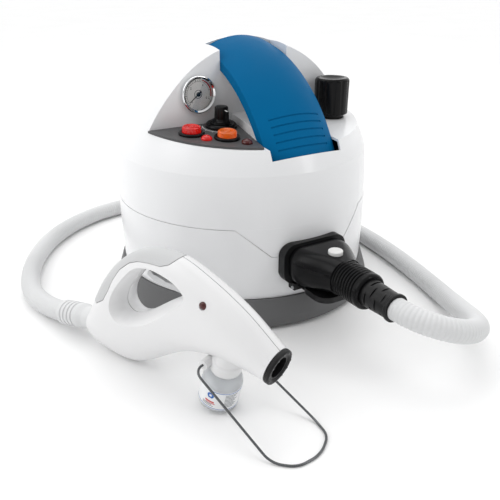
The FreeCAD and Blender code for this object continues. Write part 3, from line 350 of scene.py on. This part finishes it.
WHITE = (0.80, 0.805, 0.815)
MATERIALS = {
    "white_shell": plastic(
        "white_shell", WHITE, 0.26, gloss=0.4, coat=0.15, drift=0.006, uneven=0.05,
    ),
    "gun_white": plastic(
        "gun_white", (0.75, 0.75, 0.755), 0.3, gloss=0.35, coat=0.1, drift=0.006, uneven=0.05,
    ),
    "base_grey": plastic(
        "base_grey", (0.13, 0.131, 0.133), 0.5, grain=1500, grain_height=0.06, gloss=0.35,
    ),
    "panel_grey": plastic(
        "panel_grey", (0.07, 0.07, 0.072), 0.42, grain=1700, grain_height=0.05, gloss=0.35,
    ),
    "blue_cover": plastic(
        "blue_cover", (0.001, 0.112, 0.27), 0.45, grain=1900, grain_height=0.04, gloss=0.03,
    ),
    "black_plastic": plastic(
        "black_plastic", (0.008, 0.008, 0.0085), 0.38, grain=1500, grain_height=0.05, gloss=0.25,
    ),
    "black_gloss": plastic(
        "black_gloss", (0.004, 0.004, 0.0045), 0.24, grain=1700, grain_height=0.02, gloss=0.14,
    ),
    "hose_grey": plastic("hose_grey", (0.62, 0.625, 0.63), 0.42, grain=900, grain_height=0.03, drift=0.05),
    "light_grey": plastic(
        "light_grey", (0.52, 0.525, 0.53), 0.48, grain=1300, grain_height=0.05, gloss=0.35,
    ),
    "button_white": plastic("button_white", (0.72, 0.72, 0.71), 0.35, grain=1500, grain_height=0.02),
    "dial_white": plastic("dial_white", (0.82, 0.82, 0.80), 0.5, grain=800, grain_height=0.004),
    "board_green": plastic("board_green", (0.02, 0.17, 0.06), 0.35, grain=500, grain_height=0.05),
    "rubber": plastic("rubber", (0.018, 0.018, 0.018), 0.7, grain=700, grain_height=0.12),
    "red_lens": lens_plastic("red_lens", (0.74, 0.013, 0.009), 0.16),
    "orange_lens": lens_plastic("orange_lens", (0.85, 0.17, 0.01), 0.12),
    "dark_red_lens": lens_plastic("dark_red_lens", (0.12, 0.004, 0.004), 0.02),
    "clear_lens": clear_plastic("clear_lens", (0.98, 0.98, 0.98), 0.02, 1.0),
    "bottle_clear": clear_plastic("bottle_clear", (0.93, 0.95, 0.97), 0.3, 0.7),
    "chrome_trim": metal("chrome_trim", (0.80, 0.81, 0.82), 0.07),
    "steel": metal("steel", (0.56, 0.57, 0.58), 0.3, (1, 1, 9)),
    "wire_steel": metal("wire_steel", (0.13, 0.135, 0.14), 0.3, (6, 1, 1)),
    "brass": metal("brass", (0.62, 0.43, 0.17), 0.3, (1, 1, 9)),
    "insulation": fibre("insulation", (0.70, 0.66, 0.55)),
    "dial_black": plastic("dial_black", (0.02, 0.02, 0.02), 0.6, grain=900, grain_height=0.002),
    "dial_red": plastic("dial_red", (0.45, 0.02, 0.015), 0.6, grain=900, grain_height=0.002),
    # White of the knob's printed scale marks, and of the painted highlight on the knob's fin.
    "print_and_highlight_white": plastic("print_and_highlight_white", (0.75, 0.75, 0.74), 0.6, grain=900, grain_height=0.002),
    "label_paper": plastic("label_paper", (0.80, 0.81, 0.82), 0.42, grain=1200, grain_height=0.01),
    "label_blue": plastic("label_blue", (0.01, 0.11, 0.42), 0.4, grain=1200, grain_height=0.01),
    "label_grey": plastic("label_grey", (0.16, 0.17, 0.19), 0.4, grain=1200, grain_height=0.01),
    "label_red": plastic("label_red", (0.52, 0.05, 0.05), 0.4, grain=1200, grain_height=0.01),
}


# Nodes whose material isn't the one of their slot: the unlit lamps, a white button and a black ring.
OWN_MATERIALS = {
    "water_lamp": "dark_red_lens",
    "gun_lamp": "dark_red_lens",
    "plug_button": "button_white",
    "nozzle_ring": "black_plastic",
}


def dress(item, material):
    item.data.materials.clear()
    item.data.materials.append(MATERIALS[material])
    return item


def dress_frame():
    """Every CAD node takes the material that its slot in the record names, apart from a few."""
    for part in frame["record"]["subparts"]:
        node = NODES[part["node"]]
        for place in node.material_slots:
            place.link = "OBJECT"
            place.material = MATERIALS[part["material_slot"]]
    for node, material in OWN_MATERIALS.items():
        NODES[node].material_slots[0].material = MATERIALS[material]


dress_frame()
dress(hose, "hose_grey")

# ---------------------------------------------------------------- shapes for details


def joint(name):
    return next(item for item in frame["joints"] if item["name"] == name)


def basis(origin, up, toward):
    """A place whose Z is along one direction and whose X leans toward another."""
    z = Vector(up).normalized()
    x = Vector(toward)
    x = (x - z * x.dot(z)).normalized()
    turn = Matrix((x, z.cross(x), z)).transposed().to_4x4()
    return Matrix.Translation(Vector(origin)) @ turn


def add_piece(item, body, slot, material=None):
    """Put a piece on a body. Its material is its slot's, unless another is named."""
    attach(item, body)
    return dress(item, material or slot)


FLUTED_BAND = 0.6
MERGE_WITHIN = 0.00001
SHARP_ANGLE = math.radians(50)


def lathe(name, place, profile, sides=96, flute=0.0, flutes=0):
    """Turn a closed profile of (radius, height) in mm about a place's Z; flutes notch its outside."""
    widest = max(radius for radius, _ in profile)
    verts = []
    faces = []
    for step in range(sides):
        angle = 2 * math.pi * step / sides
        notch = flute * abs(math.sin(flutes * angle / 2))
        for radius, height in profile:
            shown = radius - notch if radius > widest - FLUTED_BAND else radius
            at = Vector((shown * math.cos(angle), shown * math.sin(angle), height)) * MM
            verts.append(place @ at)
    count = len(profile)
    for step in range(sides):
        here = step * count
        after = (step + 1) % sides * count
        for row in range(count):
            up = (row + 1) % count
            faces.append((here + row, after + row, after + up, here + up))
    item = mesh_object(name, verts, faces)
    weld = item.modifiers.new("weld", "WELD")
    weld.merge_threshold = MERGE_WITHIN
    soften = item.modifiers.new("edges", "EDGE_SPLIT")
    soften.split_angle = SHARP_ANGLE
    return item


def sectors(name, place, blocks):
    """Blocks of a ring as one mesh: each is (inner, outer, start, stop, low, high) in mm and degrees."""
    verts = []
    faces = []
    for inner, outer, start, stop, low, high in blocks:
        steps = max(1, math.ceil(abs(stop - start) / 5))
        first = len(verts)
        for step in range(steps + 1):
            angle = math.radians(start + (stop - start) * step / steps)
            for radius, height in ((inner, low), (outer, low), (outer, high), (inner, high)):
                at = Vector((radius * math.cos(angle), radius * math.sin(angle), height)) * MM
                verts.append(place @ at)
        for step in range(steps):
            a = first + 4 * step
            for side in range(4):
                b = (side + 1) % 4
                faces.append((a + side, a + b, a + b + 4, a + side + 4))
        faces.append((first + 3, first + 2, first + 1, first))
        end = first + 4 * steps
        faces.append((end, end + 1, end + 2, end + 3))
    return mesh_object(name, verts, faces, False)


def numeral(name, place, text, size, at):
    """A flat number, standing on a place's XY plane."""
    data = bpy.data.curves.new(name, "FONT")
    data.body = text
    data.size = size * MM
    data.extrude = 0.04 * MM
    data.align_x = "CENTER"
    data.align_y = "CENTER"
    holder = bpy.data.objects.new(name, data)
    mesh = bpy.data.meshes.new_from_object(holder)
    mesh.transform(place @ Matrix.Translation(Vector(at) * MM))
    bpy.data.curves.remove(data)
    return new_object(name, mesh)


# ---------------------------------------------------------------- control panel

PANEL_TILT = math.radians(4.3)
PANEL_MIDDLE = (-90.5, 217.5)
PANEL_TOP = 2.65
BUTTON_RADIUS = 11.0
BUTTON_TOP = 12.4
HEATER_AT = (-103, -63)
STEAM_AT = (-73, -93)
KNOB_AT = (-58, -51)
FLUTE_DEPTH = 0.58
# The arc beside the knob, and how many marks it has.
SCALE_START = 150
SCALE_SWEEP = 112
SCALE_MARKS = 6


def panel_place(x, y, toward=(1, 0, 0)):
    """A place on the tilted recess floor, from a position in plan in mm."""
    along = (y - PANEL_MIDDLE[0]) / math.cos(PANEL_TILT)
    origin = Vector((x, y, PANEL_MIDDLE[1] + along * math.sin(PANEL_TILT))) * MM
    return basis(origin, (0, -math.sin(PANEL_TILT), math.cos(PANEL_TILT)), toward)


def button_lens(node, at, slot, ridges, flutes):
    """A see-through button cap: ridged or fluted sides, a rounded rim and rings on its crown."""
    profile = [(0, -9), (BUTTON_RADIUS, -9), (BUTTON_RADIUS, 4)]
    for ridge in range(ridges):
        level = 4.4 + 1.5 * ridge
        profile += [(BUTTON_RADIUS - 0.05, level), (BUTTON_RADIUS - 0.9, level + 0.75)]
    profile += [(BUTTON_RADIUS - 0.1, 10.4), (BUTTON_RADIUS - 0.7, 11.4), (BUTTON_RADIUS - 1.7, 12)]
    for ring in range(3):
        radius = 8.6 - 2.4 * ring
        profile += [(radius, 12), (radius - 0.5, 11.5), (radius - 1.0, 12.1)]
    profile += [(0, BUTTON_TOP)]
    lens = lathe(f"{node}_lens", panel_place(*at), profile, 160, FLUTE_DEPTH if flutes else 0, flutes)
    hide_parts(node)
    add_piece(lens, node, slot)


def make_controls():
    button_lens("heater_button", HEATER_AT, "red_lens", 0, 20)
    button_lens("steam_button", STEAM_AT, "orange_lens", 4, 0)
    knob = panel_place(*KNOB_AT)
    marks = [(22.0, 22.9, SCALE_START, SCALE_START + SCALE_SWEEP, PANEL_TOP, PANEL_TOP + 0.12)]
    for number in range(SCALE_MARKS):
        angle = SCALE_START + SCALE_SWEEP * number / (SCALE_MARKS - 1)
        marks.append((24.0, 25.6, angle - 0.9, angle + 0.9, PANEL_TOP, PANEL_TOP + 0.12))
    add_piece(sectors("knob_marks", knob, marks), "machine", "dial_white", "print_and_highlight_white")
    # A white strip along the top of the knob's fin, on its front: a painted highlight where the fin's top catches
    # the light.
    front = panel_place(*KNOB_AT, (0, -1, 0))
    fin_highlight = sectors("knob_fin_highlight", front, [(7.0, 15.2, -3.4, 3.4, 24.22, 24.5)])
    add_piece(fin_highlight, "steam_knob", "dial_white", "print_and_highlight_white")


# ---------------------------------------------------------------- pressure gauge

GAUGE_ZERO = 225.0
GAUGE_SWEEP = 250.0
TICK_SPACES = 30
SPACES_PER_LONG_TICK = 5
FIGURES = 4


def gauge_angle(share):
    return GAUGE_ZERO - GAUGE_SWEEP * share


def make_gauge():
    at = Vector(joint("gauge_sweep")["pos_m"])
    low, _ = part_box("gauge_dial")
    dial = basis((at.x, low[1], at.z), (0, -1, 0), (1, 0, 0))
    fine = [(14.5, 14.8, gauge_angle(1), gauge_angle(0), 0, 0.1), (4.4, 5.0, 0, 360, 0, 0.1)]
    for number in range(TICK_SPACES + 1):
        angle = gauge_angle(number / TICK_SPACES)
        short = number % SPACES_PER_LONG_TICK
        inner = 15.4 if short else 14.8
        wide = 0.6 if short else 1.2
        fine.append((inner, 17.0, angle - wide, angle + wide, 0, 0.1))
    add_piece(sectors("dial_ticks", dial, fine), "machine", "dial_white", "dial_black")
    limit = [(16.1, 17.7, gauge_angle(0.95), gauge_angle(0.62), 0.02, 0.14)]
    arc = sectors("dial_limit", dial, limit)
    add_piece(arc, "machine", "dial_white", "dial_red")
    for number in range(FIGURES):
        angle = math.radians(gauge_angle(number / (FIGURES - 1)))
        spot = (11.8 * math.cos(angle), 11.8 * math.sin(angle), 0.06)
        figure = numeral(f"dial_figure_{number}", dial, str(number * 2), 4.0, spot)
        add_piece(figure, "machine", "dial_white", "dial_black")


# ---------------------------------------------------------------- bottle label and gun trim

LABEL_TOWARD = (-0.5, -0.85, 0)
LABEL_LOW = -51.0
LABEL_HIGH = -27.5
LABEL_HALF = 115
LABEL_RADIUS = 20.06


def make_label():
    """Plain blocks in place of the bottle's print. The label has no lettering."""
    turn = joint("bottle_unscrew")
    bottle = basis(turn["pos_m"], turn["axis"], LABEL_TOWARD)
    skin = LABEL_RADIUS
    around = (-LABEL_HALF, LABEL_HALF)
    paper = sectors("label_paper", bottle, [(skin - 0.04, skin, *around, LABEL_LOW, LABEL_HIGH)])
    add_piece(paper, "bottle", "dial_white", "label_paper")

    def ink(low, high, start, stop):
        return (skin, skin + 0.05, start, stop, low, high)

    edges = [
        ink(LABEL_LOW + 0.6, LABEL_LOW + 1.1, *around),
        ink(LABEL_HIGH - 1.6, LABEL_HIGH - 0.9, *around),
    ]
    add_piece(sectors("label_lines", bottle, edges), "bottle", "dial_white", "label_blue")
    disc = []
    for row in range(8):
        height = -38.2 + 0.9 * row
        half = math.degrees(math.sqrt(max(0.2, 3.6 ** 2 - (height + 0.45 + 35.0) ** 2)) / skin)
        disc.append(ink(height, height + 0.9, -28 - half, -28 + half))
    add_piece(sectors("label_disc", bottle, disc), "bottle", "dial_white", "label_blue")
    middle = (skin + 0.05, skin + 0.09, -31.5, -24.5, -36.2, -33.8)
    add_piece(sectors("label_disc_middle", bottle, [middle]), "bottle", "dial_white", "label_paper")
    bars = []
    for row in range(9):
        level = -31.5 - 1.9 * row
        bars.append(ink(level, level + 0.8, 14, 52 - 5 * (row % 3)))
    bars += [ink(-46.5, -45.6, -50, -20), ink(-48.2, -47.5, -50, -14)]
    add_piece(sectors("label_bars", bottle, bars), "bottle", "dial_white", "label_grey")
    stripes = [ink(-43.6, -41.8, -42, -14), ink(-45.0, -44.2, -40, -10)]
    add_piece(sectors("label_stripes", bottle, stripes), "bottle", "dial_white", "label_red")


def make_gun_trim():
    turn = joint("nozzle_ring_turn")
    mouth = basis(turn["pos_m"], turn["axis"], (0, 0, 1))
    seal = [(7.2, -9), (8.4, -10), (10.3, -10), (10.3, -6), (8.6, -5.4), (7.4, -7)]
    add_piece(lathe("mouth_seal", mouth, seal), "gun", "rubber")
    jet = [(1.5, -27.5), (4.2, -27.5), (4.2, -17), (3.2, -14), (1.5, -14)]
    add_piece(lathe("mouth_jet", mouth, jet, 48), "gun", "brass")
    grips = []
    for number in range(12):
        angle = 30 * number
        grips.append((14.9, 16.6, angle - 3, angle + 3, 5.62, 5.9))
    add_piece(sectors("lock_ring_grips", mouth, grips), "nozzle_ring", "base_grey")


make_controls()
make_gauge()
make_label()
make_gun_trim()

# ---------------------------------------------------------------- floor and light

# The studio is dimmer on the side that the machine's front faces, which gives it its grey shading.
DIM_SIDE = Vector((-0.05, -0.99, -0.12)).normalized()
BRIGHT = 1.28
DIM = 0.42
FLOOR_HALF = 40


def make_stage():
    far = FLOOR_HALF
    corners = [(-far, -far, 0), (far, -far, 0), (far, far, 0), (-far, far, 0)]
    floor = mesh_object("floor", corners, [(0, 1, 2, 3)], False)
    material, tree, shader = new_material("floor_pale")
    shade_range(
        tree, noise(tree, 3), (0.93, 0.93, 0.93, 1), (0.95, 0.95, 0.95, 1), shader.inputs["Base Color"],
    )
    shader.inputs["Roughness"].default_value = 0.6
    floor.data.materials.append(material)


def softbox(name, at, aim, size, power):
    """A rectangular light: where it is and what it faces in metres, and its power in watts."""
    data = bpy.data.lights.new(name, "AREA")
    data.shape = "RECTANGLE"
    data.size, data.size_y = size
    data.energy = power
    light = new_object(name, data)
    light.location = at
    light.rotation_euler = (Vector(aim) - Vector(at)).to_track_quat("-Z", "Y").to_euler()


def make_studio():
    world = bpy.data.worlds.new("studio")
    world.use_nodes = True
    tree = world.node_tree
    coords = tree.nodes.new("ShaderNodeTexCoord")
    facing = tree.nodes.new("ShaderNodeVectorMath")
    facing.operation = "DOT_PRODUCT"
    facing.inputs[1].default_value = DIM_SIDE
    spread = tree.nodes.new("ShaderNodeMapRange")
    spread.inputs["From Min"].default_value = -0.3
    spread.inputs["From Max"].default_value = 0.8
    spread.inputs["To Min"].default_value = BRIGHT
    spread.inputs["To Max"].default_value = DIM
    background = tree.nodes["Background"]
    background.inputs["Color"].default_value = (1.0, 1.0, 1.0, 1)
    tree.links.new(coords.outputs["Generated"], facing.inputs[0])
    tree.links.new(facing.outputs["Value"], spread.inputs["Value"])
    tree.links.new(spread.outputs["Result"], background.inputs["Strength"])
    bpy.context.scene.world = world


def make_light():
    make_studio()
    softbox("key", (-1.5, 0.1, 1.3), (0, 0, 0.15), (0.9, 1.3), 5.5)
    softbox("strip", (0.9, -1.6, 1.0), (0, -0.15, 0.12), (0.25, 1.2), 5)
    softbox("top", (0.1, 0.4, 1.9), (0, 0, 0.1), (1.2, 1.2), 5)


make_stage()
make_light()
bpy.context.scene.view_settings.view_transform = "Standard"
